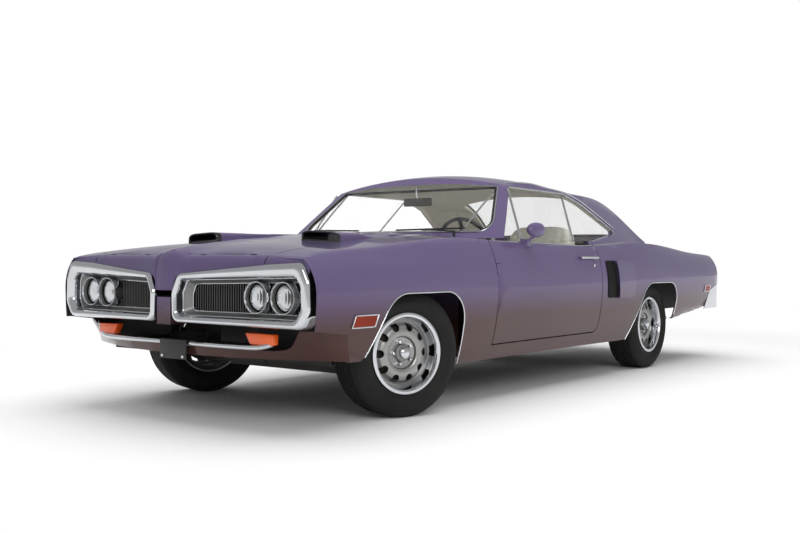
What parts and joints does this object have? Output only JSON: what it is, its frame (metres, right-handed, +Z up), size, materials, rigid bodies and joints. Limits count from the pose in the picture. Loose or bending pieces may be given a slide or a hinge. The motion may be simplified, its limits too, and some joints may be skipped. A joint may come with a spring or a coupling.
{
  "type": "muscle car",
  "caption": "Two-door hardtop muscle car with a divided loop front bumper, twin hood scoops, slotted steel wheels, opening doors, hood and trunk lid.",
  "frame": {"origin": "on the ground, on the symmetry plane, at the middle of the body's length", "axes": "+X to the car's left side, -Y the way the car faces, +Z up"},
  "size_m": [1.9667, 5.2551, 1.3637],
  "materials": {
    "paint": "metallic gloss",
    "undercoat": "satin",
    "chrome": "polished",
    "glass": "clear",
    "tyre": "matte",
    "wheel": "satin silver",
    "black_trim": "matte",
    "vinyl": "satin",
    "dash": "satin",
    "lamp_red": "gloss",
    "lamp_amber": "gloss",
    "lamp_clear": "gloss",
    "iron": "matte",
    "steel": "satin"
  },
  "bodies": {
    "body": {"fender_left": "paint", "fender_right": "paint", "quarter_left": "paint", "quarter_right": "paint", "roof": "paint", "cowl": "paint", "windshield": "glass", "rear_window": "glass", "quarter_glass": "glass", "door_hinges": "undercoat", "tail_panel": "paint", "tail_lamps": "lamp_red", "rear_bumper": "chrome", "front_loops": "chrome", "grilles": "black_trim", "headlamps": "lamp_clear", "nose_panel": "paint", "front_valance": "paint", "lower_bar": "chrome", "marker_lamps": "lamp_amber", "floor_pan": "undercoat", "trunk_pan": "undercoat", "driveline": "iron", "front_suspension": "iron", "rear_axle": "iron", "exhaust": "steel", "fuel_tank": "steel", "dashboard": "dash", "seats": "vinyl", "wipers": "black_trim"},
    "door_left": {"door_left": "paint", "door_glass_left": "glass"},
    "door_right": {"door_right": "paint", "door_glass_right": "glass"},
    "hood": {"hood": "paint"},
    "decklid": {"decklid": "paint"},
    "steering_wheel": {"steering_wheel": "dash"},
    "knuckle_left": {"knuckle_left": "iron"},
    "knuckle_right": {"knuckle_right": "iron"},
    "wheel_front_left": {"tyre_front_left": "tyre", "rim_front_left": "wheel"},
    "wheel_front_right": {"tyre_front_right": "tyre", "rim_front_right": "wheel"},
    "wheel_rear_left": {"tyre_rear_left": "tyre", "rim_rear_left": "wheel"},
    "wheel_rear_right": {"tyre_rear_right": "tyre", "rim_rear_right": "wheel"}
  },
  "joints": [
    {"name": "door_left_hinge", "type": "hinge", "parent": "body", "child": "door_left", "pos_m": [0.925, -0.997, 0.63], "axis": [0, 0, -1], "range_deg": [0, 62]},
    {"name": "door_right_hinge", "type": "hinge", "parent": "body", "child": "door_right", "pos_m": [-0.925, -0.997, 0.63], "axis": [0, 0, 1], "range_deg": [0, 62]},
    {"name": "hood_hinge", "type": "hinge", "parent": "body", "child": "hood", "pos_m": [0, -1.093, 0.94621], "axis": [-1, 0, 0], "range_deg": [0, 50]},
    {"name": "decklid_hinge", "type": "hinge", "parent": "body", "child": "decklid", "pos_m": [0, 1.508, 0.94482], "axis": [1, 0, 0], "range_deg": [0, 60]},
    {"name": "steer_left", "type": "hinge", "parent": "body", "child": "knuckle_left", "pos_m": [0.69, -1.68, 0.325], "axis": [0, 0, 1], "range_deg": [-13.3, 50.7]},
    {"name": "steer_right", "type": "hinge", "parent": "body", "child": "knuckle_right", "pos_m": [-0.69, -1.68, 0.325], "axis": [0, 0, 1], "range_deg": [-13.3, 50.7]},
    {"name": "steering_wheel_turn", "type": "hinge", "parent": "body", "child": "steering_wheel", "pos_m": [0.37, -0.47, 0.885], "axis": [0, 0.9063, 0.4226], "range_deg": [-213.5, 812]},
    {"name": "wheel_front_left_spin", "type": "hinge", "parent": "knuckle_left", "child": "wheel_front_left", "pos_m": [0.75441, -1.7018, 0.325], "axis": [0.9472, -0.3206, 0], "continuous": true},
    {"name": "wheel_front_right_spin", "type": "hinge", "parent": "knuckle_right", "child": "wheel_front_right", "pos_m": [-0.75441, -1.6582, 0.325], "axis": [0.9472, -0.3206, 0], "continuous": true},
    {"name": "wheel_rear_left_spin", "type": "hinge", "parent": "body", "child": "wheel_rear_left", "pos_m": [0.752, 1.292, 0.325], "axis": [1, 0, 0], "continuous": true},
    {"name": "wheel_rear_right_spin", "type": "hinge", "parent": "body", "child": "wheel_rear_right", "pos_m": [-0.752, 1.292, 0.325], "axis": [1, 0, 0], "continuous": true}
  ],
  "couplings": [
    {"joint": "steer_right", "follows": "steer_left", "ratio": 1},
    {"joint": "steering_wheel_turn", "follows": "steer_left", "ratio": 16}
  ]
}
